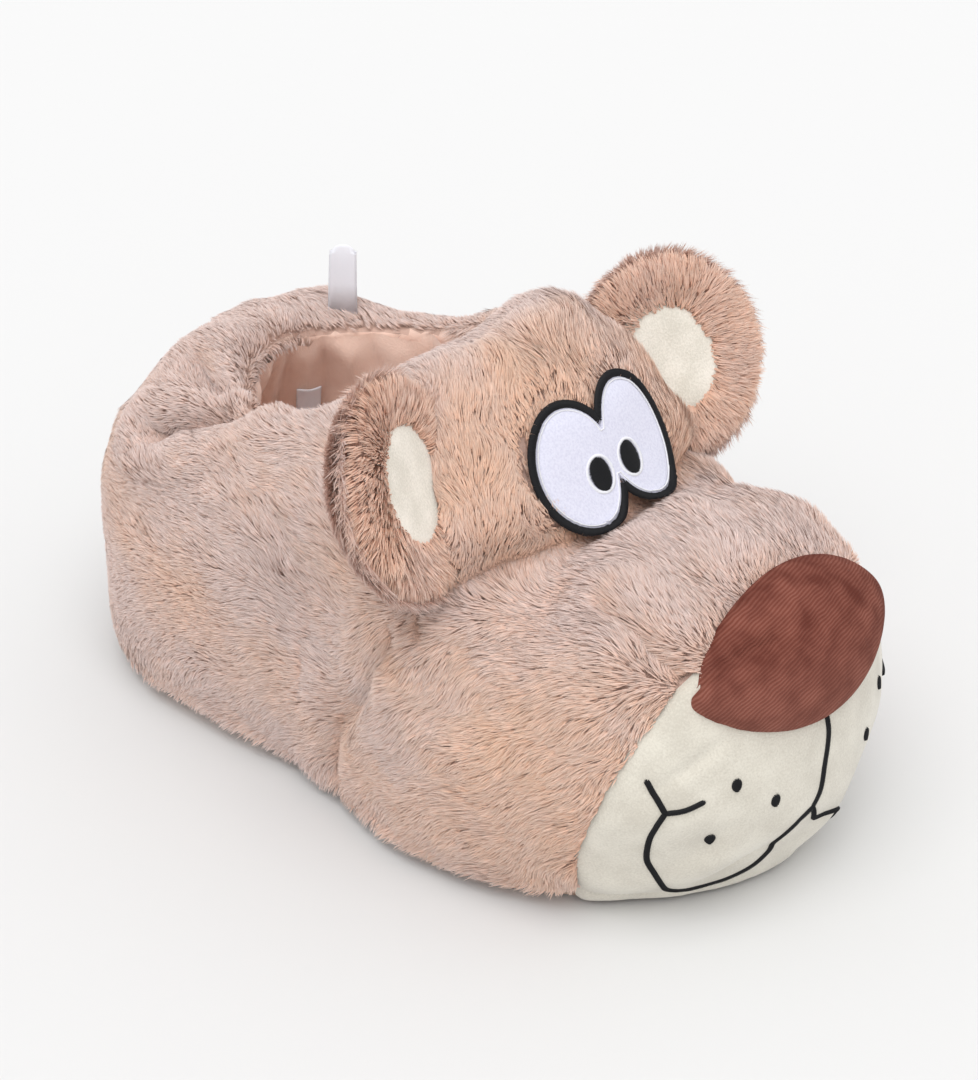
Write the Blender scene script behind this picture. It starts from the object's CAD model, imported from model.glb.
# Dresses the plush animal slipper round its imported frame, piece by piece, as it is put together.
# Lengths are in metres. The toe points along +X, the left side is +Y and the slipper stands on z = 0.

import math

import bmesh
import bpy
import numpy as np
from mathutils import Matrix, Vector, kdtree
from mathutils.bvhtree import BVHTree


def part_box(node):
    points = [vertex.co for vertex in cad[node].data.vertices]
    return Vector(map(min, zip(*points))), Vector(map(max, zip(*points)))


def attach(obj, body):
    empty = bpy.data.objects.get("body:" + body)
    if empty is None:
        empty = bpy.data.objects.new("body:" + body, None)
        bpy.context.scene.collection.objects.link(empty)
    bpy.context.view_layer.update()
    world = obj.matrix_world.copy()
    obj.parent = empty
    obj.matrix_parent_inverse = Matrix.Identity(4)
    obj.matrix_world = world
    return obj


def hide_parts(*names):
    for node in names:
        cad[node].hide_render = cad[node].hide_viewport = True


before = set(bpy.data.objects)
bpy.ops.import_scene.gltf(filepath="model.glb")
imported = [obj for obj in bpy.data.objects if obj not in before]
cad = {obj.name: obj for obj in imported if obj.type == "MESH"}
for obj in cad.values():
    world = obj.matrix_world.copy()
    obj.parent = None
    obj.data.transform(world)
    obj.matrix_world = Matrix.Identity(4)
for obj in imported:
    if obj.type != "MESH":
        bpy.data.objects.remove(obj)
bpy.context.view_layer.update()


# Outsole: a flat pad of firm woven cloth, sewn to the lower edge of the shell.
# Its solid keeps its shape. The cloth is a plain weave, with rows of small rubber grip dots underneath.

SOLE_COLOR = (0.62, 0.46, 0.37)
GRIP_COLOR = (0.30, 0.20, 0.15)
SOLE_YARN = 0.0009
GRIP_SPACING = 0.006
GRIP_RADIUS = 0.30
GRIP_TOP = 0.0045
GRIP_FADE = 0.0005


def new_finish(name, color, roughness, sheen=0.0):
    """A material and its Principled shader."""
    mat = bpy.data.materials.new(name)
    mat.use_nodes = True
    shader = mat.node_tree.nodes["Principled BSDF"]
    shader.inputs["Base Color"].default_value = (*color, 1)
    shader.inputs["Roughness"].default_value = roughness
    shader.inputs["Sheen Weight"].default_value = sheen
    shader.inputs["Sheen Roughness"].default_value = 0.6
    shader.inputs["Specular IOR Level"].default_value = 0.25
    return mat, shader


def node(mat, kind, values=None, **settings):
    made = mat.node_tree.nodes.new("ShaderNode" + kind)
    for name, value in settings.items():
        setattr(made, name, value)
    for name, value in (values or {}).items():
        made.inputs[name].default_value = value
    return made


def join(mat, source, target):
    mat.node_tree.links.new(source, target)


def place_of(mat, turn=(0, 0, 0), stretch=(1, 1, 1)):
    """The place on the piece in metres, turned and stretched for a pattern."""
    mapping = node(mat, "Mapping", {"Rotation": turn, "Scale": stretch})
    join(mat, node(mat, "TexCoord").outputs["Object"], mapping.inputs["Vector"])
    return mapping.outputs["Vector"]


def grain(mat, size, detail=2.0, place=None):
    """Soft noise with grains of about a size in metres."""
    noise = node(mat, "TexNoise", {"Scale": 1 / size, "Detail": detail})
    join(mat, place or place_of(mat), noise.inputs["Vector"])
    return noise.outputs["Fac"]


def lines(mat, spacing, place, direction="X"):
    """Fine parallel lines a spacing apart."""
    bands = node(mat, "TexWave", {"Scale": math.pi / 10 / spacing}, bands_direction=direction)
    join(mat, place, bands.inputs["Vector"])
    return bands.outputs["Fac"]


def spread(mat, value, low, high):
    """Stretches a range of a value over 0 to 1."""
    ranged = node(mat, "MapRange", {"From Min": low, "From Max": high})
    join(mat, value, ranged.inputs["Value"])
    return ranged.outputs["Result"]


def combined(mat, first, second, operation="MULTIPLY"):
    """Two values in one: each is a socket or a number."""
    step = node(mat, "Math", operation=operation)
    for value, socket in zip((first, second), step.inputs):
        if isinstance(value, (int, float)):
            socket.default_value = value
        else:
            join(mat, value, socket)
    return step.outputs["Value"]


def blended(mat, share, first, second):
    """A colour between two: each is a socket or three numbers."""
    mix = node(mat, "Mix", data_type="RGBA")
    join(mat, share, mix.inputs["Factor"])
    for value, socket in zip((first, second), [s for s in mix.inputs if s.type == "RGBA"]):
        if isinstance(value, tuple):
            socket.default_value = (*value, 1)
        else:
            join(mat, value, socket)
    return [s for s in mix.outputs if s.type == "RGBA"][0]


def raised(mat, shader, height, depth):
    """Raises the surface by a pattern, up to a depth in metres."""
    bump = node(mat, "Bump", {"Distance": depth})
    join(mat, height, bump.inputs["Height"])
    join(mat, bump.outputs["Normal"], shader.inputs["Normal"])


def colored(mat, shader, color):
    join(mat, color, shader.inputs["Base Color"])


sole_cloth, sole_shader = new_finish("sole_cloth", SOLE_COLOR, 0.9)
sole_place = place_of(sole_cloth)
warp = lines(sole_cloth, SOLE_YARN, sole_place, "X")
weft = lines(sole_cloth, SOLE_YARN, sole_place, "Y")
weave = combined(sole_cloth, warp, weft)
dots = node(sole_cloth, "TexVoronoi", {"Scale": 1 / GRIP_SPACING, "Randomness": 0.0}, voronoi_dimensions="2D")
join(sole_cloth, sole_place, dots.inputs["Vector"])
below = node(sole_cloth, "SeparateXYZ")
join(sole_cloth, sole_place, below.inputs["Vector"])
dot = combined(
    sole_cloth,
    spread(sole_cloth, dots.outputs["Distance"], GRIP_RADIUS, GRIP_RADIUS * 0.8),
    spread(sole_cloth, below.outputs["Z"], GRIP_TOP, GRIP_TOP - GRIP_FADE),
)
colored(sole_cloth, sole_shader, blended(sole_cloth, dot, SOLE_COLOR, GRIP_COLOR))
raised(sole_cloth, sole_shader, combined(sole_cloth, weave, dot, "MAXIMUM"), 0.0004)
cad["outsole"].data.materials.clear()
cad["outsole"].data.materials.append(sole_cloth)


# Insole: a thin foam footbed under short peach fleece, glued inside the shell.
# It follows its solid, with a finer mesh for the fleece's nap.

FLEECE_COLOR = (0.88, 0.66, 0.57)
FLEECE_SHADE = (0.76, 0.53, 0.44)
FLEECE_NAP = 0.0012


def copy_of(mesh):
    bm = bmesh.new()
    bm.from_mesh(mesh)
    return bm


def merged_copy(name):
    """A copy of a node's mesh with its loose triangles joined."""
    bm = copy_of(cad[name].data)
    bmesh.ops.remove_doubles(bm, verts=bm.verts, dist=1e-6)
    bm.normal_update()
    return bm


def sew_on(name, mesh):
    """Makes a mesh a piece of the slipper."""
    piece = bpy.data.objects.new(name, mesh)
    bpy.context.scene.collection.objects.link(piece)
    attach(piece, "root")
    return piece


def add_piece(name, bm, finish, slot, *replaced):
    """Makes a bmesh a piece of the slipper, in the place of the nodes that it stands for."""
    mesh = bpy.data.meshes.new(name)
    bm.to_mesh(mesh)
    bm.free()
    mesh.materials.append(finish)
    mesh.shade_smooth()
    piece = sew_on(name, mesh)
    if replaced:
        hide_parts(*replaced)
    return piece


def shape_with(piece, *steps):
    """Runs modifiers, each a kind and its settings, and keeps the mesh that they make."""
    for kind, settings in steps:
        step = piece.modifiers.new(kind.lower(), kind)
        for name, value in settings.items():
            setattr(step, name, value)
    made = bpy.data.meshes.new_from_object(piece.evaluated_get(bpy.context.evaluated_depsgraph_get()))
    piece.modifiers.clear()
    piece.data = made
    made.shade_smooth()


fleece, fleece_shader = new_finish("fleece", FLEECE_COLOR, 0.95, 0.5)
nap = grain(fleece, FLEECE_NAP, 3)
colored(fleece, fleece_shader, blended(fleece, spread(fleece, nap, 0.3, 0.6), FLEECE_SHADE, FLEECE_COLOR))
raised(fleece, fleece_shader, nap, 0.0005)

insole = add_piece("insole_pad", merged_copy("insole"), fleece, "fleece", "insole")
shape_with(insole, ("SUBSURF", {"levels": 1, "render_levels": 1, "subdivision_type": "SIMPLE"}))


# Shell: long-pile plush panels, sewn inside out, turned and stuffed firmly round the foot space.
# The wall is the frame's, without its coarse locks. Seams are pressed in and the panels between them swell.

SHELL_GRID = 0.003
PILE_DEPTH = 0.0014
LOCK_STANDOUT = 0.0015
BASE_ROWS = 0.010
SPINE = {"back": -0.11, "front": 0.09, "height": 0.035}
UNEVEN = 0.0012
PUFF = 0.35
UNDERSIDE = {"slope": -0.6, "height": 0.016}
OUTSIDE_BLEND = 0.25
ROOT_COLOR = (0.66, 0.45, 0.37)

# Seams and folds: points along each, its depth and its half width. The right side is -Y.
SEAMS = {
    "rear_panel": {
        "points": [
            (0.030, -0.076, 0.088), (0.021, -0.077, 0.066), (0.0, -0.071, 0.034), (-0.005, -0.068, 0.012),
        ],
        "depth": 0.0040, "wide": 0.0048, "both": True,
    },
    "brow": {
        "points": [
            (0.036, -0.068, 0.098), (0.053, -0.047, 0.110), (0.062, -0.026, 0.113), (0.066, 0.0, 0.114),
        ],
        "depth": 0.0050, "wide": 0.0052, "both": True,
    },
    "ear_seam": {
        "points": [(0.035, -0.069, 0.101), (0.039, -0.071, 0.090)],
        "depth": 0.0035, "wide": 0.0035, "both": True,
    },
    "muzzle_dart": {
        "points": [
            (0.088, -0.043, 0.110), (0.102, -0.045, 0.108), (0.113, -0.046, 0.102), (0.121, -0.041, 0.097),
        ],
        "depth": 0.0034, "wide": 0.0040, "both": True,
    },
    "rim_fold": {
        "points": [
            (-0.062, -0.041, 0.117), (-0.074, -0.046, 0.118), (-0.087, -0.051, 0.113), (-0.100, -0.056, 0.104),
        ],
        "depth": 0.0095, "wide": 0.0055, "both": False,
    },
    "dome_fold": {
        "points": [(-0.103, -0.030, 0.120), (-0.093, -0.035, 0.120), (-0.083, -0.037, 0.120)],
        "depth": 0.0060, "wide": 0.0042, "both": False,
    },
}


def points_of(mesh, what="co"):
    values = np.empty(len(mesh.vertices) * 3, dtype=np.float32)
    mesh.vertices.foreach_get(what, values)
    return values.reshape(-1, 3).astype(float)


def move_to(mesh, points):
    mesh.vertices.foreach_set("co", points.astype(np.float32).ravel())
    mesh.update()


def unit(vectors):
    return vectors / np.maximum(np.linalg.norm(vectors, axis=-1, keepdims=True), 1e-9)


def ramp(values, start, end):
    """Runs from 0 at the start to 1 at the end, and holds both beyond them."""
    return np.clip((values - start) / (end - start), 0, 1)


def waves(points, size, seed):
    """A smooth wandering value, mostly between -1 and 1, with swells of about a size in metres."""
    draw = np.random.default_rng(seed)
    total = np.zeros(len(points))
    for _ in range(6):
        heading = unit(draw.normal(size=3)) * 2 * math.pi / (size * draw.uniform(0.7, 1.6))
        total += np.sin(points @ heading + draw.uniform(0, 2 * math.pi))
    return total / 3


def facing_out(points, normals):
    """How far each point faces away from the middle of the foot space: the outside is above 0."""
    spine = np.zeros_like(points)
    spine[:, 0] = np.clip(points[:, 0], SPINE["back"], SPINE["front"])
    spine[:, 2] = SPINE["height"]
    return (normals * unit(points - spine)).sum(axis=1)


def surface_of(bm):
    """The surface of a mesh, for finding the places on it."""
    tree = BVHTree.FromBMesh(bm)
    bm.free()
    return tree


def near_lines(points, seams, surface):
    """Distance from each point to the nearest of the lines, laid on a surface, and which line it is."""
    names, along = [], []
    for name, seam in seams.items():
        for side in ((1, -1) if seam["both"] else (1,)):
            route = np.array(seam["points"]) * [1, side, 1]
            for start, end in zip(route, route[1:]):
                for t in np.linspace(0, 1, 12, endpoint=False):
                    along.append(surface.find_nearest(start + (end - start) * t)[0])
                    names.append(name)
    tree = kdtree.KDTree(len(along))
    for i, place in enumerate(along):
        tree.insert(place, i)
    tree.balance()
    found = [tree.find(p) for p in points]
    return np.array([f[2] for f in found]), [names[f[1]] for f in found]


def swell(piece, held, pressure, most, steps=14):
    """Blows a stuffed piece up as cloth, with its held points kept, and caps how far the rest may move."""
    start = points_of(piece.data)
    group = piece.vertex_groups.new(name="held")
    group.add([int(i) for i in np.flatnonzero(held)], 1.0, "REPLACE")
    cloth = piece.modifiers.new("stuffing", "CLOTH")
    cloth.settings.quality = 4
    cloth.settings.mass = 0.3
    cloth.settings.bending_stiffness = 0.6
    cloth.settings.use_pressure = True
    cloth.settings.uniform_pressure_force = pressure
    cloth.settings.effector_weights.gravity = 0
    cloth.settings.vertex_group_mass = "held"
    cloth.collision_settings.use_collision = False
    for step in range(1, steps + 1):
        bpy.context.scene.frame_set(step)
    shown = piece.evaluated_get(bpy.context.evaluated_depsgraph_get())
    moved = points_of(shown.data) - start
    piece.modifiers.remove(cloth)
    piece.vertex_groups.clear()
    bpy.context.scene.frame_set(1)
    far = np.linalg.norm(moved, axis=1, keepdims=True)
    move_to(piece.data, start + moved * np.minimum(1, most / np.maximum(far, 1e-9)))


plush_skin, skin_shader = new_finish("plush_skin", ROOT_COLOR, 0.95, 0.2)
raised(plush_skin, skin_shader, grain(plush_skin, 0.0015), 0.0004)

bm = merged_copy("upper")
tips = set()
for v in bm.verts:
    around = [e.other_vert(v).co for e in v.link_edges]
    middle = sum(around, Vector()) / len(around)
    if v.co.z > BASE_ROWS and (v.co - middle).dot(v.normal) > LOCK_STANDOUT:
        tips.add(v)
for v in tips:
    roots = [e.other_vert(v).co for e in v.link_edges if e.other_vert(v) not in tips]
    if roots:
        v.co = sum(roots, Vector()) / len(roots)
shell = add_piece("shell", bm, plush_skin, "plush", "upper")
shape_with(
    shell,
    ("REMESH", {"mode": "VOXEL", "voxel_size": SHELL_GRID}),
    ("SMOOTH", {"factor": 0.5, "iterations": 6}),
)
form = surface_of(copy_of(shell.data))
shell_points, shell_normals = points_of(shell.data), points_of(shell.data, "normal")
shell_out = facing_out(shell_points, shell_normals)
shell_under = (shell_normals[:, 2] < UNDERSIDE["slope"]) & (shell_points[:, 2] < UNDERSIDE["height"])
seam_gap, seam_name = near_lines(shell_points, SEAMS, form)
seam_depth = np.array([SEAMS[name]["depth"] for name in seam_name])
seam_wide = np.array([SEAMS[name]["wide"] for name in seam_name])
swell(shell, (shell_out < 0.05) | shell_under | (seam_gap < 0.004), 2.0, 0.0022)
shell_points = points_of(shell.data)
outside = ramp(shell_out, 0, OUTSIDE_BLEND) * ~shell_under
trough = seam_depth * np.exp(-(seam_gap / seam_wide) ** 2)
trough -= seam_depth * PUFF * np.exp(-((seam_gap - seam_wide * 2.4) / (seam_wide * 1.3)) ** 2)
lift = UNEVEN * waves(shell_points, 0.035, 3) - PILE_DEPTH - trough
move_to(shell.data, shell_points + shell_normals * (lift * outside)[:, None])


# Lining: smooth peach fleece over the inside of the wall, gathered into pleats below the collar's rim.
# It lies on the wall from just inside the rim down to the footbed. The wall's own inside shows the same cloth.

PLEATS = {
    "angles": (172, 153, 128, 100, -158, -132, -104, -176),
    "depth": 0.0080, "wide": 0.0055, "sway": 0.0016,
    "rise": (0.035, 0.075), "back": (0.010, -0.010), "unfold": 0.9,
}
LINING_LIFT = 0.0006
LINING_UNEVEN = 0.0010
RIM_EDGE = 0.14
FOOTBED_HEIGHT = 0.012
COLLAR_MIDDLE = -0.052
VELBOA = (0.95, 0.71, 0.60)
VELBOA_SHADE = (0.88, 0.62, 0.51)

velboa, velboa_shader = new_finish("velboa", VELBOA, 0.9, 0.3)
brushed = grain(velboa, 0.009, 2)
colored(velboa, velboa_shader, blended(velboa, spread(velboa, brushed, 0.3, 0.7), VELBOA_SHADE, VELBOA))
raised(velboa, velboa_shader, grain(velboa, 0.0007), 0.0002)
shell.data.materials.append(velboa)
for face in shell.data.polygons:
    inside = all(shell_out[i] < RIM_EDGE + 0.08 for i in face.vertices)
    face.material_index = int(inside and face.center.z > FOOTBED_HEIGHT)
bm = copy_of(shell.data)
spare = [f for f in bm.faces if any(shell_out[v.index] > RIM_EDGE or shell_under[v.index] for v in f.verts)]
bmesh.ops.delete(bm, geom=spare, context="FACES")
for _ in range(3):
    ragged = [f for f in bm.faces if sum(e.is_boundary for e in f.edges) > 1]
    bmesh.ops.delete(bm, geom=ragged, context="FACES")
lining = add_piece("lining", bm, velboa, "fleece")
shape_with(lining, ("SUBSURF", {"levels": 1, "render_levels": 1}))
points, normals = points_of(lining.data), points_of(lining.data, "normal")
angle = np.arctan2(points[:, 1], points[:, 0] - COLLAR_MIDDLE)
reach = np.hypot(points[:, 1], points[:, 0] - COLLAR_MIDDLE)
fold = np.zeros(len(points))
for degrees in PLEATS["angles"]:
    gap = (angle - math.radians(degrees) + math.pi) % (2 * math.pi) - math.pi
    gap = (gap * reach + PLEATS["sway"] * np.sin(points[:, 2] * 130 + degrees)) / PLEATS["wide"]
    fold = np.maximum(fold, np.exp(-np.abs(gap) ** 1.3))
fade = ramp(points[:, 2], *PLEATS["rise"]) * ramp(points[:, 0], *PLEATS["back"])
fade *= ramp(facing_out(points, normals), RIM_EDGE, RIM_EDGE - PLEATS["unfold"])
lift = PLEATS["depth"] * (1 - fold) + LINING_UNEVEN * waves(points, 0.022, 31)
move_to(lining.data, points + normals * (LINING_LIFT + lift * fade)[:, None])


# Chin panel: cream velour with a very short nap, stretched over the front of the muzzle under the nose.
# It is sewn in between the plush panels, so its edges turn down into the pile.

CREAM = (0.73, 0.69, 0.60)
CREAM_SHADE = (0.60, 0.56, 0.48)
CHIN_AXIS = 0.075
CHIN_LIFT = 0.0024
CHIN_CROWN = 0.0008
CHIN_SINK = 0.0038
CHIN_BEND = 0.0095
CHIN_CURL = 55
CHIN_TUCK = 2.2
MUZZLE_REACH = 0.065
FAR_OUT = 0.2
CHIN_EDGE = {
    "height": (0.0016, 0.020, 0.035, 0.050, 0.0635, 0.0785, 0.0916, 0.101),
    "turn": (74, 72.5, 70, 66.5, 62.5, 56, 47, 34),
}

# Creases of the panel: the ends of each, as degrees round the muzzle's axis and a height
CHIN_CREASES = [((-12, 0.030), (-40, 0.016)), ((16, 0.028), (44, 0.017)), ((-30, 0.080), (-52, 0.062))]
CREASE = {"depth": 0.0011, "wide": 0.0022, "per_degree": 0.0012}


def velour_finish(name, color, shade, thread=0.0007):
    """Velour: a close nap with broad brushed patches."""
    mat, shader = new_finish(name, color, 0.9, 0.35)
    tone = combined(mat, grain(mat, thread, 2), grain(mat, 0.012, 1), "ADD")
    colored(mat, shader, blended(mat, spread(mat, tone, 0.75, 1.25), shade, color))
    raised(mat, shader, grain(mat, thread, 2), 0.0002)
    return mat


def face_sheet(bm, ahead):
    """Turns all the faces of a sheet towards one side."""
    bmesh.ops.recalc_face_normals(bm, faces=bm.faces)
    if sum((f.normal for f in bm.faces), Vector()).dot(ahead) < 0:
        bmesh.ops.reverse_faces(bm, faces=bm.faces)


def chin_place(turn, height):
    """A point on the muzzle's outer surface, by its direction from the muzzle's axis in degrees."""
    if height < CHIN_BEND:
        drop = CHIN_BEND - height
        above = chin_place(turn, CHIN_BEND)
        inward = (Vector((CHIN_AXIS, 0, CHIN_BEND)) - above).normalized()
        return above + inward * drop ** 2 * CHIN_CURL - Vector((0, 0, drop))
    axis = Vector((CHIN_AXIS, 0, height))
    ahead = Vector((math.cos(math.radians(turn)), math.sin(math.radians(turn)), 0))
    found = form.ray_cast(axis + ahead * FAR_OUT, -ahead)[0]
    return found or form.find_nearest(axis + ahead * MUZZLE_REACH)[0]


cream_velour = velour_finish("cream_velour", CREAM, CREAM_SHADE)
bm = bmesh.new()
bmesh.ops.create_grid(bm, x_segments=96, y_segments=64, size=0.5)
chin_low, chin_high = CHIN_EDGE["height"][0], CHIN_EDGE["height"][-1]
chin_flat = np.array([v.co for v in bm.verts])
for v in bm.verts:
    height = chin_low + (v.co.y + 0.5) * (chin_high - chin_low)
    turn = 2 * v.co.x * np.interp(height, CHIN_EDGE["height"], CHIN_EDGE["turn"])
    v.co = chin_place(turn, height)
bmesh.ops.smooth_vert(bm, verts=bm.verts, factor=0.5, use_axis_x=True, use_axis_y=True, use_axis_z=True)
chin = add_piece("chin_velour", bm, cream_velour, "cream_velour", "chin_panel")
points, normals = points_of(chin.data), points_of(chin.data, "normal")
normals *= np.sign((normals * (points - [CHIN_AXIS, 0, 0.05])).sum(axis=1, keepdims=True))
edge = np.maximum(np.abs(chin_flat[:, 0]) * 2, np.abs(chin_flat[:, 1]) * 2 * 0.985)
lift = CHIN_LIFT + CHIN_CROWN * np.cos(chin_flat[:, 0] * math.pi) - CHIN_SINK * edge ** 14
turns = np.degrees(np.arctan2(points[:, 1], points[:, 0] - CHIN_AXIS))
scale = np.array([CREASE["per_degree"], 1.0])
for start, end in CHIN_CREASES:
    start, end = np.array(start), np.array(end)
    way = (end - start) * scale
    offset = (np.column_stack([turns, points[:, 2]]) - start) * scale
    share = np.clip(offset @ way / (way @ way), 0, 1)
    gap = np.linalg.norm(offset - share[:, None] * way, axis=1)
    trough = CREASE["depth"] * np.exp(-(gap / CREASE["wide"]) ** 2)
    lift -= trough * np.sin(math.pi * np.clip(share, 0.05, 0.95))
move_to(chin.data, points + normals * lift[:, None])
bm = copy_of(chin.data)
face_sheet(bm, Vector((1, 0, 0)))
bm.to_mesh(chin.data)
chin_form = surface_of(bm)


# Nose: a stuffed pad of red-brown velour with a fine slanting twill, sewn to the muzzle's tip.
# It follows its solid, blown up a little, with a soft crease from its right corner and a worn lower edge.

NOSE_COLOR = (0.185, 0.054, 0.037)
NOSE_SHADE = (0.125, 0.034, 0.024)
NOSE_LIGHT = (0.40, 0.175, 0.135)
TWILL = 0.0011
TWILL_NORMAL = (-0.77, -0.17, 0.62)
NOSE_PLUMP = 0.0009
TWILL_SHARE = 0.62
RUBBED = {"above": 0.108, "below": 0.078, "share": 0.22}
NOSE_CREASE = {
    "from_corner": {
        "points": [
            (0.125, -0.043, 0.096), (0.132, -0.036, 0.104), (0.136, -0.031, 0.106), (0.140, -0.023, 0.108),
        ],
        "depth": 0.0028, "wide": 0.0030, "both": False,
    },
}

nose_velour, nose_shader = new_finish("nose_velour", NOSE_COLOR, 1.0)
nose_shader.inputs["Specular IOR Level"].default_value = 0.08
across_twill = node(nose_velour, "VectorMath", {1: TWILL_NORMAL}, operation="DOT_PRODUCT")
join(nose_velour, place_of(nose_velour), across_twill.inputs[0])
wander = combined(nose_velour, grain(nose_velour, 0.006, 1), TWILL * 1.2)
rib = combined(nose_velour, across_twill.outputs["Value"], wander, "ADD")
rib = combined(nose_velour, combined(nose_velour, rib, 2 * math.pi / TWILL), 0.0, "SINE")
twill = spread(nose_velour, rib, -1.0, 1.0)
patches = grain(nose_velour, 0.010, 2)
worn = blended(nose_velour, spread(nose_velour, patches, 0.35, 0.65), NOSE_SHADE, NOSE_COLOR)
light = combined(nose_velour, combined(nose_velour, twill, TWILL_SHARE), spread(nose_velour, patches, 0.2, 0.9))
nose_height = node(nose_velour, "SeparateXYZ")
join(nose_velour, place_of(nose_velour), nose_height.inputs["Vector"])
rubbed = spread(nose_velour, nose_height.outputs["Z"], RUBBED["above"], RUBBED["below"])
rubbed = combined(nose_velour, rubbed, RUBBED["share"])
light = combined(nose_velour, light, rubbed, "ADD")
colored(nose_velour, nose_shader, blended(nose_velour, light, worn, NOSE_LIGHT))
fuzz = combined(nose_velour, combined(nose_velour, twill, 0.6), grain(nose_velour, 0.0006), "ADD")
raised(nose_velour, nose_shader, fuzz, 0.00025)

nose = add_piece("nose_pad", merged_copy("nose"), nose_velour, "brown_velour", "nose")
shape_with(
    nose,
    ("REMESH", {"mode": "VOXEL", "voxel_size": 0.0020}),
    ("SMOOTH", {"factor": 0.5, "iterations": 14}),
    ("SUBSURF", {"levels": 1, "render_levels": 1}),
)
points = points_of(nose.data)
swell(nose, points[:, 0] < points[:, 0].min() + 0.008, 3.0, 0.0010)
nose_form = surface_of(copy_of(nose.data))
points, normals = points_of(nose.data), points_of(nose.data, "normal")
gap, names = near_lines(points, NOSE_CREASE, nose_form)
crease = NOSE_CREASE["from_corner"]
lift = NOSE_PLUMP - crease["depth"] * np.exp(-(gap / crease["wide"]) ** 2)
move_to(nose.data, points + normals * lift[:, None])


# Eyes: one patch of white felt in the shape of two joined ovals, laid on the forehead.
# A wide satin stitch in black binds its edge, and each pupil is filled with satin stitch inside a pale ring.

EYE_HEIGHT = 0.132
EYE_SPAN = 0.007
EYE_HALF = {"wide": 0.0150, "long": 0.0203}
EYE_CENTRES = {"right": -0.0142, "left": 0.0136}
EYE_LIFT = 0.0034
EYE_BORDER = 0.0029
PUPIL_HALF = {"wide": 0.0047, "long": 0.0056}
PUPIL_CENTRES = {"right": -0.0073, "left": 0.0073}
PUPIL_DROP = -0.0050
PUPIL_RING = 0.0011
EDGE_POINTS = 160
WHITE_STITCH = {"inset": 0.0009, "wide": 0.0005}
FELT = (0.74, 0.74, 0.86)
FELT_SHADE = (0.66, 0.66, 0.79)
BLACK = (0.010, 0.010, 0.012)
WHITE = (0.86, 0.86, 0.90)
STITCH = 0.00042

forehead_low = form.ray_cast(Vector((0.3, 0, EYE_HEIGHT - EYE_SPAN)), Vector((-1, 0, 0)))[0]
forehead_high = form.ray_cast(Vector((0.3, 0, EYE_HEIGHT + EYE_SPAN)), Vector((-1, 0, 0)))[0]
eye_middle = form.ray_cast(Vector((0.3, 0, EYE_HEIGHT)), Vector((-1, 0, 0)))[0]
eye_up = (forehead_high - forehead_low).normalized()
eye_across = Vector((0, 1, 0))
eye_out = eye_across.cross(eye_up)


def eye_place(across, up, lift):
    """A point over the forehead, by its place in the plane of the eyes."""
    start = eye_middle + eye_across * across + eye_up * up + eye_out * 0.03
    found = form.ray_cast(start, -eye_out)[0] or form.find_nearest(start)[0]
    return found + eye_out * lift


def round_sheet(segments, rings, step):
    """A flat sheet of rings, with a radius of 1."""
    bm = bmesh.new()
    bmesh.ops.create_circle(bm, cap_ends=True, segments=segments, radius=1)
    for _ in range(rings):
        inner = max(bm.faces, key=lambda f: len(f.verts))
        bmesh.ops.inset_individual(bm, faces=[inner], thickness=step)
    return bm


def oval_reach(angle, centre, half):
    """How far a ray from the middle between the eyes runs before it leaves one oval, or 0 if it misses it."""
    cx, cy, off = math.cos(angle) / half["wide"], math.sin(angle) / half["long"], centre / half["wide"]
    a, b, c = cx * cx + cy * cy, -2 * cx * off, off * off - 1
    inside = b * b - 4 * a * c
    return (-b + math.sqrt(inside)) / (2 * a) if inside > 0 else 0.0


def eyes_edge(grow, count):
    """The outline of the two joined ovals, as places in the plane of the eyes."""
    half = {name: size + grow for name, size in EYE_HALF.items()}
    route = []
    for i in range(count):
        angle = 2 * math.pi * i / count
        reach = max(oval_reach(angle, centre, half) for centre in EYE_CENTRES.values())
        route.append((reach * math.cos(angle), reach * math.sin(angle)))
    return route


def even_route(route, step, closed=False):
    """Points an even step apart along a route."""
    route = np.array([*route, route[0]] if closed else route, dtype=float)
    run = np.concatenate([[0], np.cumsum(np.linalg.norm(np.diff(route, axis=0), axis=1))])
    marks = np.linspace(0, run[-1], max(4, round(run[-1] / step)), endpoint=not closed)
    return np.column_stack([np.interp(marks, run, route[:, i]) for i in range(route.shape[1])])


def laid(tree, point, lift):
    """The nearest place on a surface, raised a little, and the direction out of it."""
    found, normal = tree.find_nearest(Vector(point))[:2]
    return found + normal * lift, normal


def satin(bm, lefts, rights, outs, rise):
    """Satin stitches side by side: each runs from a left point over a low arch to a right point."""
    for left, right, out in zip(lefts, rights, outs):
        across = right - left
        if across.length < STITCH / 2:
            continue
        along = across.cross(out).normalized() * STITCH * 0.62
        rows = []
        for share, high in ((0, -0.25), (0.16, 0.75), (0.5, 1), (0.84, 0.75), (1, -0.25)):
            middle = left + across * share + out * rise * high
            rows.append([bm.verts.new(middle + along - out * STITCH * 0.5),
                         bm.verts.new(middle + out * STITCH * 0.35),
                         bm.verts.new(middle - along - out * STITCH * 0.5)])
        for low, high in zip(rows, rows[1:]):
            for k in range(2):
                bm.faces.new((low[k], high[k], high[k + 1], low[k + 1]))


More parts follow.
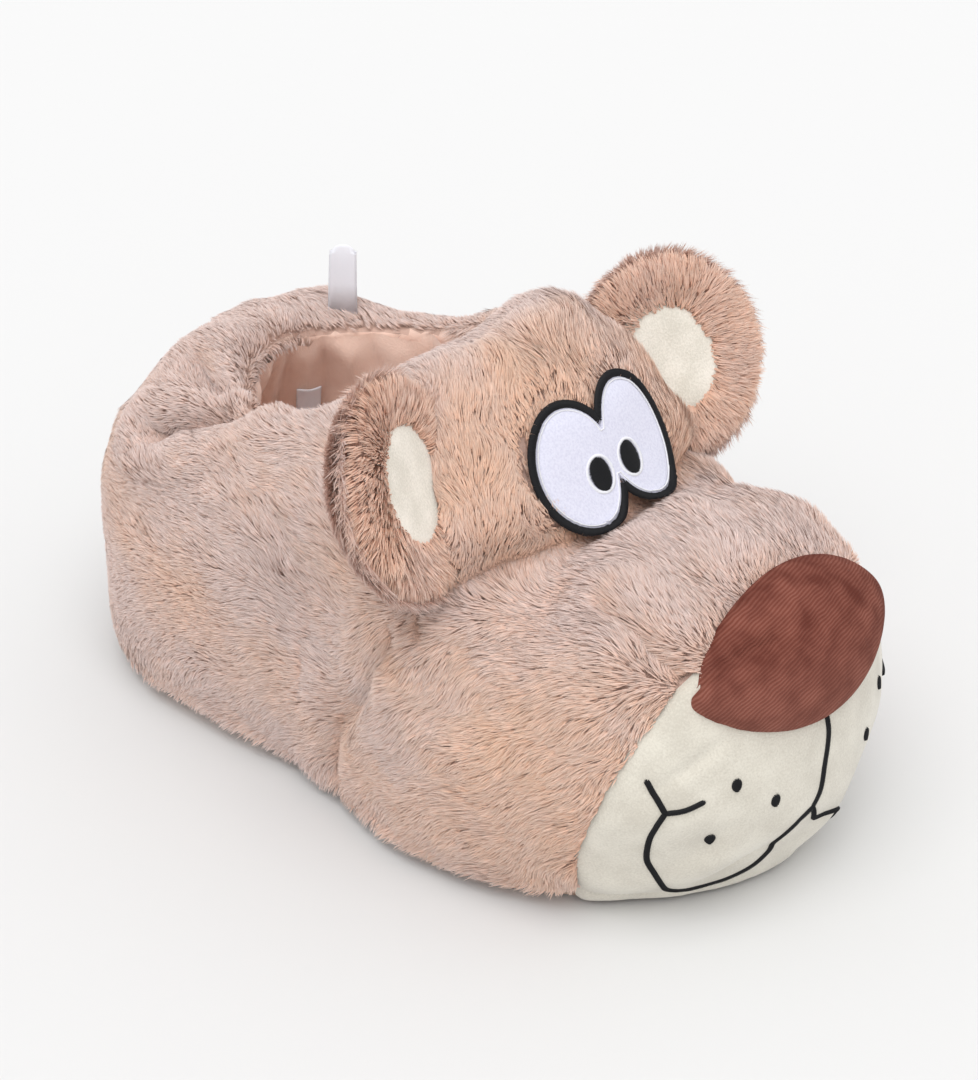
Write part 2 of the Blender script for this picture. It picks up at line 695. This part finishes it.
def sewn_band(bm, route, wide, tree, lift, closed=False, rise=0.0005):
    """A satin band along a route that runs over a surface. Open ends are rounded."""
    steps = even_route(route, STITCH, closed)
    way = np.gradient(steps, axis=0) if not closed else np.roll(steps, -1, axis=0) - np.roll(steps, 1, axis=0)
    lefts, rights, outs = [], [], []
    for i, (step, ahead) in enumerate(zip(steps, unit(way))):
        out = tree.find_nearest(Vector(step))[1]
        end = STITCH * min(i, len(steps) - 1 - i) / (wide / 2)
        half = wide / 2 * (1 if closed or end > 1 else math.sqrt(1 - (1 - end) ** 2) * 0.6 + 0.4)
        side = out.cross(Vector(ahead)).normalized() * half
        lefts.append(laid(tree, Vector(step) + side, lift)[0])
        rights.append(laid(tree, Vector(step) - side, lift)[0])
        outs.append(out)
    satin(bm, lefts, rights, outs, rise)


def sewn_oval(bm, centre, up, half, tree, lift, rise=0.0006):
    """An oval filled with satin stitches that run across it."""
    out = tree.find_nearest(Vector(centre))[1]
    across = Vector(up).cross(out).normalized()
    up = out.cross(across)
    lefts, rights, outs = [], [], []
    for height in np.arange(-half[1] + STITCH / 2, half[1], STITCH):
        side = across * half[0] * math.sqrt(1 - (height / half[1]) ** 2)
        for found, sign in ((lefts, -1), (rights, 1)):
            found.append(laid(tree, centre + up * height + side * sign, lift)[0])
        outs.append(out)
    satin(bm, lefts, rights, outs, rise)


felt, felt_shader = new_finish("white_felt", FELT, 0.85, 0.2)
fibres = grain(felt, 0.0008, 4)
colored(felt, felt_shader, blended(felt, spread(felt, fibres, 0.35, 0.6), FELT_SHADE, FELT))
raised(felt, felt_shader, fibres, 0.00015)
black_thread = new_finish("black_thread", BLACK, 0.6)[0]
white_thread = new_finish("white_thread", WHITE, 0.5, 0.1)[0]

edge_route = eyes_edge(0.0, EDGE_POINTS)
bm = round_sheet(EDGE_POINTS, 10, 0.09)
for v in bm.verts:
    turn = math.atan2(v.co.y, v.co.x) % (2 * math.pi)
    across, up = edge_route[int(turn / (2 * math.pi) * EDGE_POINTS + 0.5) % EDGE_POINTS]
    share = v.co.xy.length
    v.co = eye_place(across * share, up * share, EYE_LIFT)
face_sheet(bm, eye_out)
eyes = add_piece("eye_felt", bm, felt, "white_felt", "eye_patch")
shape_with(eyes, ("SOLIDIFY", {"thickness": 0.0022, "offset": -1}))


def on_felt(route):
    """A route in the plane of the eyes, laid on the felt."""
    return [eye_place(across, up, EYE_LIFT) for across, up in route]


bm = bmesh.new()
sewn_band(bm, on_felt(eyes_edge(EYE_BORDER * 0.42, 240)), EYE_BORDER, form, EYE_LIFT, True, 0.0008)
add_piece("eye_border", bm, black_thread, "black_thread")
for name, centre in PUPIL_CENTRES.items():
    bm = bmesh.new()
    middle = eye_place(centre, PUPIL_DROP, EYE_LIFT)
    sewn_oval(bm, middle, eye_up, (PUPIL_HALF["wide"], PUPIL_HALF["long"]), form, EYE_LIFT)
    add_piece(f"pupil_thread_{name}", bm, black_thread, "black_thread", f"pupil_{name}")
bm = bmesh.new()
for centre in PUPIL_CENTRES.values():
    wide, long = (size + PUPIL_RING / 2 for size in PUPIL_HALF.values())
    turns = np.linspace(0, 2 * math.pi, 48, endpoint=False)
    ring = [(centre + wide * math.cos(a), PUPIL_DROP + long * math.sin(a)) for a in turns]
    sewn_band(bm, on_felt(ring), PUPIL_RING, form, EYE_LIFT, True, 0.0003)
edge_route = even_route(eyes_edge(0, 240), 0.0006, True)
way = unit(np.roll(edge_route, -1, axis=0) - np.roll(edge_route, 1, axis=0))
inner_route = edge_route - np.column_stack([way[:, 1], -way[:, 0]]) * WHITE_STITCH["inset"]
sewn_band(bm, on_felt(inner_route), WHITE_STITCH["wide"], form, EYE_LIFT, True, 0.0003)
add_piece("eye_white_stitches", bm, white_thread, "white_felt")


# Mouth: a line of black satin stitch down from the nose, a wide smile on each side that runs along the chin's
# lower edge and ends in a fork on the cheek, and three whisker dots a side, all sewn into the chin panel.

MOUTH_WIDE = 0.0021
PARTING_LINE = [(0.0, 0.0730), (0.0, 0.0655), (-0.0026, 0.0550), (-0.0041, 0.0460), (-0.0070, 0.0406)]
LIPS = {
    "right": [(-0.0070, 0.0406), (-0.0125, 0.0378), (-0.0150, 0.0335), (-0.0160, 0.0280), (-0.0148, 0.0214),
              (-0.0172, 0.0145)],
    "left": [(-0.0070, 0.0406), (-0.0015, 0.0318), (0.0060, 0.0290), (0.0130, 0.0262), (0.0182, 0.0215),
             (0.0208, 0.0150)],
}
MOUTH = {
    "smile": [(-0.0250, 0.0100), (-0.0335, 0.0086), (-0.0415, 0.0118), (-0.0480, 0.0185), (-0.0524, 0.0262),
              (-0.0562, 0.0340), (-0.0586, 0.0447), (-0.0584, 0.0505), (-0.0568, 0.0555)],
    "fork_back": [(-0.0568, 0.0555), (-0.0584, 0.0610), (-0.0600, 0.0675)],
    "fork_front": [(-0.0568, 0.0555), (-0.0522, 0.0562), (-0.0470, 0.0585)],
}
WHISKERS = [(-0.0375, 0.0622), (-0.0240, 0.0515), (-0.0425, 0.0412)]
WHISKER_HALF = (0.0019, 0.0023)


def through(points, count=8):
    """A smooth route through a few points."""
    points = np.array(points)
    ends = np.vstack([2 * points[0] - points[1], points, 2 * points[-1] - points[-2]])
    route = []
    for a, b, c, d in zip(ends, ends[1:], ends[2:], ends[3:]):
        for t in np.linspace(0, 1, count, endpoint=False):
            bend = t * t * (a - 2.5 * b + 2 * c - d / 2) + t ** 3 * (d - 3 * c + 3 * b - a) / 2
            route.append(b + t * (c - a) / 2 + bend)
    return [*route, points[-1]]


def on_chin(across, up):
    """A place on the chin panel, seen from straight ahead."""
    ahead = chin_form.ray_cast(Vector((0.3, across, up)), Vector((-1, 0, 0)))[0]
    return ahead or chin_form.find_nearest(Vector((0.12, across, up)))[0]


bm = bmesh.new()
routes = [PARTING_LINE]
for side, name in ((1, "right"), (-1, "left")):
    smile, *forks = ([(across * side, up) for across, up in route] for route in MOUTH.values())
    routes += [LIPS[name] + smile, *forks]
for route in routes:
    curve = [on_chin(across, up) for across, up in through(route)]
    sewn_band(bm, curve, MOUTH_WIDE, chin_form, 0.0001, rise=0.0007)
for side in (1, -1):
    for across, up in WHISKERS:
        sewn_oval(bm, on_chin(across * side, up), (0, 0, 1), WHISKER_HALF, chin_form, 0.0001)
add_piece("mouth_stitches", bm, black_thread, "black_thread")


# Ears: round plush ears, stuffed and cupped forward, each with a smooth cream oval sewn to its front.
# They are sewn to the sides of the forehead, and the left one hangs a little lower.

EAR_HALF = {"wide": 0.034, "long": 0.035, "thick": 0.0095}
EAR_CUP = 0.009
EAR_PLACE = {"forward": 0.020, "aside": 0.069, "height": 0.135, "droop": 0.009}
EAR_FACING = {"ahead": 0.86, "inward": 0.30, "up": 0.36}
EAR_ROLL = {"left": 32, "right": 14}
EAR_SINK = 0.0022
OVAL_HALF = {"wide": 0.0175, "long": 0.022}
OVAL_UP = 0.0014
EAR_CREAM = (0.92, 0.87, 0.78)


def ear_turn(side):
    droop = EAR_PLACE["droop"] if side > 0 else 0
    out = Vector((EAR_FACING["ahead"], -side * EAR_FACING["inward"], EAR_FACING["up"])).normalized()
    across = Vector((0, 0, 1)).cross(out).normalized()
    turn = Matrix((across, out.cross(across), out)).transposed().to_4x4()
    place = Vector((EAR_PLACE["forward"], side * EAR_PLACE["aside"], EAR_PLACE["height"] - droop))
    roll = math.radians(EAR_ROLL["left" if side > 0 else "right"])
    return Matrix.Translation(place) @ turn @ Matrix.Rotation(side * roll, 4, "Z")


def ear_surface(x, y, front, sink):
    """A point of the ear in its own frame, for a place on its unit disc."""
    r2 = min(x * x + y * y, 1.0)
    thick = EAR_HALF["thick"] * (1 - r2) ** 0.35
    wide, long = EAR_HALF["wide"] - sink, EAR_HALF["long"] - sink
    return Vector((x * wide, y * long, EAR_CUP * r2 + (thick - sink if front else sink - thick)))


ear_velour = velour_finish("ear_velour", EAR_CREAM, CREAM)
ears = {}
for side, name in ((-1, "right"), (1, "left")):
    bm = bmesh.new()
    bmesh.ops.create_uvsphere(bm, u_segments=64, v_segments=34, radius=1)
    for v in bm.verts:
        v.co = ear_surface(v.co.x, v.co.y, v.co.z > -1e-5, EAR_SINK * (v.co.xy.length > 0.1))
    bmesh.ops.transform(bm, matrix=ear_turn(side), verts=bm.verts)
    bmesh.ops.recalc_face_normals(bm, faces=bm.faces)
    ears[name] = add_piece(f"ear_pad_{name}", bm, plush_skin, "plush", f"ear_{name}")
    shape_with(
        ears[name],
        ("REMESH", {"mode": "VOXEL", "voxel_size": 0.0022}),
        ("SMOOTH", {"factor": 0.5, "iterations": 4}),
    )
    points = points_of(ears[name].data)
    swell(ears[name], points[:, 2] < points[:, 2].min() + 0.012, 2.0, 0.0012)
    bm = round_sheet(56, 8, 0.11)
    for v in bm.verts:
        share = v.co.xy.length
        x, y = v.co.x * OVAL_HALF["wide"], v.co.y * OVAL_HALF["long"] + OVAL_UP
        place = ear_surface(x / EAR_HALF["wide"], y / EAR_HALF["long"], True, 0)
        v.co = place + Vector((0, 0, 0.0016 - 0.0022 * share ** 6))
    face_sheet(bm, Vector((0, 0, 1)))
    bmesh.ops.transform(bm, matrix=ear_turn(side), verts=bm.verts)
    oval = add_piece(f"ear_oval_{name}", bm, ear_velour, "cream_velour", f"ear_lining_{name}")
    shape_with(oval, ("SOLIDIFY", {"thickness": 0.0012, "offset": -1}))


# Pile: the plush's soft fibres, 4 to 9 mm long and up to 12 mm on the ears, woven into the cloth's backing.
# They stand in small tufts, brushed back from the nose, up the forehead, down the cheeks and over the rim.
# Each fibre is a thin bent blade, joined with its neighbours into one mesh for each zone of the shell.

PILE_TIP = (0.80, 0.675, 0.64)
PILE_BODY = (0.70, 0.495, 0.425)
PILE_WARM = (0.80, 0.47, 0.32)
WARM_TIP = (0.87, 0.65, 0.52)
PILE_LENGTH = 0.0074
EAR_PILE = 0.0105
BLADE = 0.00044
TUFT_TONE = 0.045
BLADE_TONE = 0.04
SHELL_BLADES = 385000
EAR_BLADES = 26000
TUFT = 9
CLEAR_OF = 0.0002
COMBED = 0.007

# How far the pile leans away from each cover beside it, or over its edge where the value is below 0
PARTING = {"chin_panel": -0.3, "nose": -0.2, "eye_patch": 0.4, "ear_left": 0.3, "ear_right": 0.3}
ZONES = (-0.20, -0.085, -0.035, 0.020, 0.075, 0.20)

# The pile is brushed back along the shell, rising by its height, and another way in these places
LAY_RISE = {"height": (0.010, 0.018, 0.035, 0.090, 0.125), "rise": (-3.0, -1.2, -0.35, 0.28, 0.40)}
CHEEK = {"lay": (-0.76, 0, -0.75), "ahead": (0.0, 0.030), "below": (0.112, 0.092)}
BROW = {"lay": (-0.35, 0, 1.0), "ahead": (0.012, 0.032), "behind": (0.072, 0.060), "above": (0.098, 0.110)}
HEEL = {"lay": (-0.3, 0, -1.0), "facing_back": (0.45, 0.75)}
RIM = {"inward": 0.8, "down": 0.9, "facing_out": (0.55, 0.15), "above": 0.085, "behind": 0.02}
SWIRLS = ((0.42, 0.034, 5), (0.30, 0.013, 6))
STRAY = 0.16
EAR_SWIRL = {"most": 0.35, "wide": 0.02, "seed": 14, "stray": 0.2}

# Shares of the pile's length that it loses or gains, and how warm its colour is
SHORTER = {"cover": 0.25, "lean": 0.6, "seam": 0.45, "back": 0.30, "ear_front": 0.30}
LONGER = {"brow": 0.12, "hem": 0.25}
WARM = {"body": 0.16, "brow": 0.60, "cheek": 0.65, "seam": 0.5, "top": 0.30, "ear": 0.20, "ear_front": 0.50}
SEAM_DIM = 0.16
FLOOR_GAP = 0.0004

# Each fibre rises from the cloth, then bends over: how far out and along it runs below and above the bend
BEND = {"share": 0.45, "below": (0.82, 0.57), "above": (0.26, 1.0)}


def scatter(mesh, kept, count, draw):
    """Random places on the kept parts of a mesh, even by area, with their smooth normals."""
    mesh.calc_loop_triangles()
    corners = np.empty(len(mesh.loop_triangles) * 3, dtype=np.int32)
    mesh.loop_triangles.foreach_get("vertices", corners)
    corners = corners.reshape(-1, 3)
    corners = corners[kept[corners].sum(axis=1) > 1]
    points, normals = points_of(mesh), points_of(mesh, "normal")
    a, b, c = (points[corners[:, i]] for i in range(3))
    area = np.linalg.norm(np.cross(b - a, c - a), axis=1)
    pick = draw.choice(len(corners), count, p=area / area.sum())
    u, v = draw.random(count), draw.random(count)
    u, v = np.where(u + v > 1, 1 - u, u), np.where(u + v > 1, 1 - v, v)
    shares = np.column_stack([1 - u - v, u, v])
    chosen = corners[pick]
    place = (points[chosen] * shares[:, :, None]).sum(axis=1)
    return place, unit((normals[chosen] * shares[:, :, None]).sum(axis=1))


def turned(lay, normals, angle):
    """A lay direction on the surface, turned about the normal."""
    lay = unit(lay - normals * (lay * normals).sum(axis=1, keepdims=True))
    return lay * np.cos(angle)[:, None] + np.cross(normals, lay) * np.sin(angle)[:, None]


def grow_pile(name, finish, roots, normals, lay, length, warm, dim, seed):
    """One mesh of blades, each a bent kite of two triangles, gathered into small tufts."""
    draw = np.random.default_rng(seed)
    count = len(roots)
    length = (length * draw.uniform(0.80, 1.12, count))[:, None]
    (low_out, low_along), (high_out, high_along) = BEND["below"], BEND["above"]
    middle = roots + unit(normals * low_out + lay * low_along) * length * BEND["share"]
    tip = middle + unit(normals * high_out + lay * high_along) * length * (1 - BEND["share"])
    leaders = draw.choice(count, max(1, count // TUFT), replace=False)
    tree = kdtree.KDTree(len(leaders))
    for i, leader in enumerate(leaders):
        tree.insert(roots[leader], i)
    tree.balance()
    tuft = np.array([tree.find(p)[1] for p in roots])
    lead = leaders[tuft]
    gather = draw.uniform(0.15, 0.50, count)[:, None]
    middle = middle + (middle[lead] - middle) * gather * 0.3
    tip = tip + (tip[lead] - tip) * gather
    twist = draw.normal(0, 0.4, count)[:, None]
    side = unit(np.cross(lay, normals)) * np.cos(twist) + normals * np.sin(twist)
    half = (BLADE / 2 * draw.uniform(0.8, 1.25, count))[:, None]
    corners = np.stack([roots, middle + side * half, middle - side * half, tip], axis=1)
    corners[:, :, 2] = np.maximum(corners[:, :, 2], FLOOR_GAP)
    faces = (np.arange(count)[:, None, None] * 4 + np.array([(0, 1, 2), (2, 1, 3)])).reshape(-1, 3)
    mesh = bpy.data.meshes.new(name)
    mesh.from_pydata(corners.reshape(-1, 3), [], faces.tolist())
    tone = dim * draw.normal(1, TUFT_TONE, len(leaders))[tuft] * draw.normal(1, BLADE_TONE, count)
    for label, values in (
        ("along", np.tile([0, 0.45, 0.45, 1], count)),
        ("tone", np.repeat(np.clip(tone, 0.7, 1.3), 4)),
        ("warm", np.repeat(np.clip(warm + draw.normal(0, 0.08, count), 0, 1), 4)),
    ):
        mesh.attributes.new(label, "FLOAT", "POINT").data.foreach_set("value", values.astype(np.float32))
    columns = math.ceil(math.sqrt(count))
    spot = np.column_stack([np.arange(count) % columns, np.arange(count) // columns])
    cell = np.array([(0.5, 0.1), (0.85, 0.5), (0.15, 0.5), (0.5, 0.9)])
    bake = (spot[:, None, :] + cell[[0, 1, 2, 2, 1, 3]]) / columns
    mesh.uv_layers.new(name="OFBake").data.foreach_set("uv", bake.astype(np.float32).ravel())
    mesh.materials.append(finish)
    if finish == pile:
        lit = unit(normals * 0.65 + lay * 0.15 + [0, 0, 0.3] + draw.normal(0, 0.16, (count, 3)))
        facing = mesh.attributes.new("facing", "FLOAT_VECTOR", "POINT").data
        facing.foreach_set("vector", np.repeat(lit, 4, axis=0).astype(np.float32).ravel())
    sew_on(name, mesh)


def pile_finish(name):
    """Plush fibres: darker at the root, pale at the tip, warmer on the face, with a tone for each tuft."""
    mat, shader = new_finish(name, PILE_BODY, 1.0)
    shader.inputs["Specular IOR Level"].default_value = 0.0
    along, tone, warmth = (
        node(mat, "Attribute", attribute_name=label).outputs["Fac"] for label in ("along", "tone", "warm")
    )
    body = blended(mat, warmth, PILE_BODY, PILE_WARM)
    root_to_body = blended(mat, spread(mat, along, 0.0, 0.6), ROOT_COLOR, body)
    tips_color = blended(mat, warmth, PILE_TIP, WARM_TIP)
    fibre = blended(mat, spread(mat, along, 0.45, 1.0), root_to_body, tips_color)
    shade = node(mat, "HueSaturation")
    join(mat, fibre, shade.inputs["Color"])
    join(mat, tone, shade.inputs["Value"])
    colored(mat, shader, shade.outputs["Color"])
    return mat, shader


pile, pile_shader = pile_finish("pile")
soft_normal = node(pile, "VectorMath", operation="ADD")
join(pile, node(pile, "Attribute", attribute_name="facing").outputs["Vector"], soft_normal.inputs[0])
join(pile, node(pile, "NewGeometry").outputs["Normal"], soft_normal.inputs[1])
join(pile, soft_normal.outputs["Vector"], pile_shader.inputs["Normal"])
loose_pile = pile_finish("loose_pile")[0]

draw = np.random.default_rng(11)
shell_normals = points_of(shell.data, "normal")
kept = (shell_out > RIM_EDGE - 0.06) & ~shell_under
roots, normals = scatter(shell.data, kept, SHELL_BLADES, draw)

gap = np.full(len(roots), 1.0)
away = np.zeros_like(roots)
parting = np.zeros(len(roots))
for name, lean in PARTING.items():
    cover = nose_form if name == "nose" else surface_of(merged_copy(name))
    for i in np.flatnonzero(roots[:, 0] > -0.02):
        spot = Vector(roots[i] + normals[i] * PILE_DEPTH)
        found, _, _, distance = cover.find_nearest(spot, 0.02)
        if found is not None and distance < gap[i]:
            gap[i] = distance
            away[i] = (spot - found).normalized()
            parting[i] = lean
turn = np.degrees(np.arctan2(np.abs(roots[:, 1]), roots[:, 0] - CHIN_AXIS))
chin_side = np.interp(roots[:, 2], CHIN_EDGE["height"], CHIN_EDGE["turn"]) - CHIN_TUCK
behind_chin = (turn < chin_side) & (roots[:, 2] < chin_high - 0.004)
free = (gap > CLEAR_OF) & ~behind_chin
roots, normals, gap, away, parting = roots[free], normals[free], gap[free], away[free], parting[free]
seam_gap, seam_name = near_lines(roots, SEAMS, form)

x, y, z = roots.T
rise = np.interp(z, LAY_RISE["height"], LAY_RISE["rise"])
lay = np.column_stack([-np.ones(len(roots)), np.zeros(len(roots)), rise])
cheek = ramp(x, *CHEEK["ahead"]) * ramp(z, *CHEEK["below"])
lay += cheek[:, None] * (np.array(CHEEK["lay"]) - lay)
brow = ramp(x, *BROW["behind"]) * ramp(x, *BROW["ahead"]) * ramp(z, *BROW["above"])
lay += brow[:, None] * (np.array(BROW["lay"]) - lay)
inward = -unit(np.column_stack([x - COLLAR_MIDDLE, y, np.zeros(len(roots))]))
over = ramp(facing_out(roots, normals), *RIM["facing_out"]) * (z > RIM["above"]) * (x < RIM["behind"])
lay += over[:, None] * (inward * RIM["inward"] - [0, 0, RIM["down"]] - lay)
heel = ramp(-normals[:, 0], *HEEL["facing_back"])
lay += heel[:, None] * (np.array(HEEL["lay"]) - lay)
lay = unit(lay)
near = ramp(gap, COMBED, 0)
lay = lay * (1 - near * parting)[:, None] + away * (near * parting * 1.3)[:, None]
swirl = sum(most * waves(roots, wide, seed) for most, wide, seed in SWIRLS) + draw.normal(0, STRAY, len(roots))
lay = turned(lay, normals, swirl)

seam_share = np.exp(-(seam_gap / 0.0022) ** 2)
length = PILE_LENGTH * (1 - near * (SHORTER["cover"] + SHORTER["lean"] * np.abs(parting)))
length *= 1 - SHORTER["seam"] * seam_share
length *= 1 - SHORTER["back"] * ramp(x, -0.03, -0.06) + LONGER["brow"] * brow + 0.06 * waves(roots, 0.02, 8)
length *= 1 + LONGER["hem"] * ramp(z, 0.016, 0.011)
warm = WARM["body"] + 0.22 * waves(roots, 0.045, 9) + 0.12 * waves(roots, 0.015, 10)
warm += WARM["brow"] * brow + WARM["cheek"] * np.exp(-((z - 0.050) / 0.045) ** 2) * ramp(x, -0.01, 0.07)
warm += WARM["seam"] * seam_share - WARM["top"] * ramp(normals[:, 2], 0.5, 0.9) * (1 - brow)
dim = 1 - SEAM_DIM * np.exp(-(seam_gap / 0.0035) ** 2)
zone = np.digitize(x, ZONES)
for i in range(1, len(ZONES)):
    for side, name in ((-1, "right"), (1, "left")):
        part = (zone == i) & ((y < 0) if side < 0 else (y >= 0))
        mine = (values[part] for values in (roots, normals, lay, length, warm, dim))
        grow_pile(f"pile_{name}_{i}", pile, *mine, 20 + i * side)

for side, name in ((-1, "right"), (1, "left")):
    mesh = ears[name].data
    own = ear_turn(side).inverted()
    flat = np.array([own @ v.co for v in mesh.vertices])
    oval = (flat[:, 0] / OVAL_HALF["wide"]) ** 2 + ((flat[:, 1] - OVAL_UP) / OVAL_HALF["long"]) ** 2
    bare = (oval < 0.62) & (flat[:, 2] > EAR_CUP * 0.2)
    roots, normals = scatter(mesh, ~bare, EAR_BLADES, draw)
    inside = [form.find_nearest(p) for p in roots]
    hidden = np.array([(Vector(p) - f[0]).dot(f[1]) < -0.002 for p, f in zip(roots, inside)])
    roots, normals = roots[~hidden], normals[~hidden]
    flat = np.array([own @ Vector(p) for p in roots])
    outward = np.column_stack([flat[:, 0], flat[:, 1], np.zeros(len(flat))])
    turn_back = np.array(own.inverted().to_3x3())
    outward = unit(outward) @ turn_back.T
    front = np.clip((normals @ turn_back[:, 2]) * 2, 0, 1)
    swirl = EAR_SWIRL["most"] * waves(roots, EAR_SWIRL["wide"], EAR_SWIRL["seed"])
    swirl += draw.normal(0, EAR_SWIRL["stray"], len(roots))
    lay = turned(outward + [0, 0, -0.35], normals, swirl)
    length = EAR_PILE * (1 - SHORTER["ear_front"] * front)
    warm = WARM["ear"] + WARM["ear_front"] * front + 0.15 * waves(roots, 0.02, 15)
    grow_pile(f"ear_pile_{name}", loose_pile, roots, normals, lay, length, warm, 1.0, 40 + side)


# Labels: a folded loop of white woven ribbon, sewn into the collar's rim, and a small flat one on the lining.
# Both are bare.

RIBBON = (0.93, 0.93, 0.99)
RIBBON_SHADE = (0.88, 0.88, 0.94)
RIBBON_YARN = 0.00035
BACK = {"angle": 128, "wide": 0.0104, "long": 0.0235, "gap": 0.0020, "bow": 0.0012, "lean": 0.22, "taper": 0.10}
CARE = {"place": (-0.100, 0.018, 0.088), "wide": 0.0090, "long": 0.0170}

ribbon, ribbon_shader = new_finish("ribbon", RIBBON, 0.5, 0.1)
ribbon_place = place_of(ribbon, turn=(0, 0, math.radians(37)))
warp = lines(ribbon, RIBBON_YARN, ribbon_place, "Z")
weft = lines(ribbon, RIBBON_YARN, ribbon_place, "Y")
yarns = combined(ribbon, warp, weft)
colored(ribbon, ribbon_shader, blended(ribbon, yarns, RIBBON_SHADE, RIBBON))
raised(ribbon, ribbon_shader, yarns, 0.0001)
low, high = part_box("back_label")
radial = Matrix.Rotation(math.radians(BACK["angle"]), 3, "Z") @ Vector((1, 0, 0))
tangent = Vector((-radial.y, radial.x, 0))
seat = Vector(((low.x + high.x) / 2, (low.y + high.y) / 2, high.z - BACK["long"]))
bm = bmesh.new()
bmesh.ops.create_grid(bm, x_segments=8, y_segments=48, size=0.5)
for v in bm.verts:
    turn = math.pi * (v.co.y + 0.5)
    rise = math.sin(turn) ** 0.3
    apart = BACK["gap"] / 2 * math.copysign(abs(math.cos(turn)) ** 0.6, math.cos(turn))
    apart *= 0.4 + 0.6 * rise
    bow = BACK["bow"] * (rise ** 2 - 0.5 * (2 * v.co.x) ** 2)
    corner = 0.16 * max(0.0, rise - 0.9) * 10 * (2 * v.co.x) ** 4
    wide = v.co.x * BACK["wide"] * (1 - BACK["taper"] * rise)
    up = BACK["long"] * (rise - corner)
    v.co = seat + radial * (apart + bow + up * BACK["lean"]) + tangent * wide + Vector((0, 0, up))
back = add_piece("back_ribbon", bm, ribbon, "ribbon", "back_label")
shape_with(back, ("SOLIDIFY", {"thickness": 0.0004}))

found, wall, _, _ = form.find_nearest(Vector(CARE["place"]))
across = Vector((0, 0, 1)).cross(wall).normalized()
down = -wall.cross(across).normalized()
bm = bmesh.new()
bmesh.ops.create_grid(bm, x_segments=10, y_segments=16, size=0.5)
for v in bm.verts:
    drop = 0.5 - v.co.y
    curl = 0.0066 + 0.0022 * drop ** 2 + 0.0006 * math.cos(v.co.x * 5)
    v.co = found + across * v.co.x * CARE["wide"] + down * (drop - 0.5) * CARE["long"] + wall * curl
care = add_piece("care_label", bm, ribbon, "ribbon")
shape_with(care, ("SOLIDIFY", {"thickness": 0.0003}))


# Studio: a plain pale floor, soft white light from all round with a broad lamp high over the toe's right side.
# The camera is at the photo's height and angle, turned so that the slipper fills the frame.

CAMERA = {"place": (0.6427, -0.7219, 0.6884), "aim": (0.002, 0.002, 0.076), "lens": 112.0}
FLOOR_COLOR = (0.750, 0.750, 0.750)
FLOOR_SHADE = (0.746, 0.746, 0.746)
SKY = 0.86
LAMP = {"energy": 1.45, "breadth": 50, "towards": (0.32, -0.50, 1.30)}

floor_paint, floor_shader = new_finish("floor_paint", FLOOR_COLOR, 0.9)
colored(floor_paint, floor_shader, blended(floor_paint, grain(floor_paint, 0.4), FLOOR_COLOR, FLOOR_SHADE))
bm = bmesh.new()
bmesh.ops.create_grid(bm, x_segments=1, y_segments=1, size=6)
floor_mesh = bpy.data.meshes.new("floor")
bm.to_mesh(floor_mesh)
bm.free()
floor_mesh.materials.append(floor_paint)
floor = bpy.data.objects.new("floor", floor_mesh)
bpy.context.scene.collection.objects.link(floor)

world = bpy.data.worlds.new("studio")
world.use_nodes = True
world.node_tree.nodes["Background"].inputs["Color"].default_value = (1.0, 1.0, 1.0, 1)
world.node_tree.nodes["Background"].inputs["Strength"].default_value = SKY
bpy.context.scene.world = world
sun_light = bpy.data.lights.new("key", "SUN")
sun_light.energy = LAMP["energy"]
sun_light.angle = math.radians(LAMP["breadth"])
sun = bpy.data.objects.new("key", sun_light)
sun.rotation_euler = Vector(LAMP["towards"]).to_track_quat("Z", "Y").to_euler()
bpy.context.scene.collection.objects.link(sun)

camera_data = bpy.data.cameras.new("camera")
camera_data.lens = CAMERA["lens"]
camera = bpy.data.objects.new("camera", camera_data)
camera.location = CAMERA["place"]
camera.rotation_euler = (Vector(CAMERA["place"]) - Vector(CAMERA["aim"])).to_track_quat("Z", "Y").to_euler()
bpy.context.scene.collection.objects.link(camera)
bpy.context.scene.camera = camera
bpy.context.scene.view_settings.view_transform = "Standard"
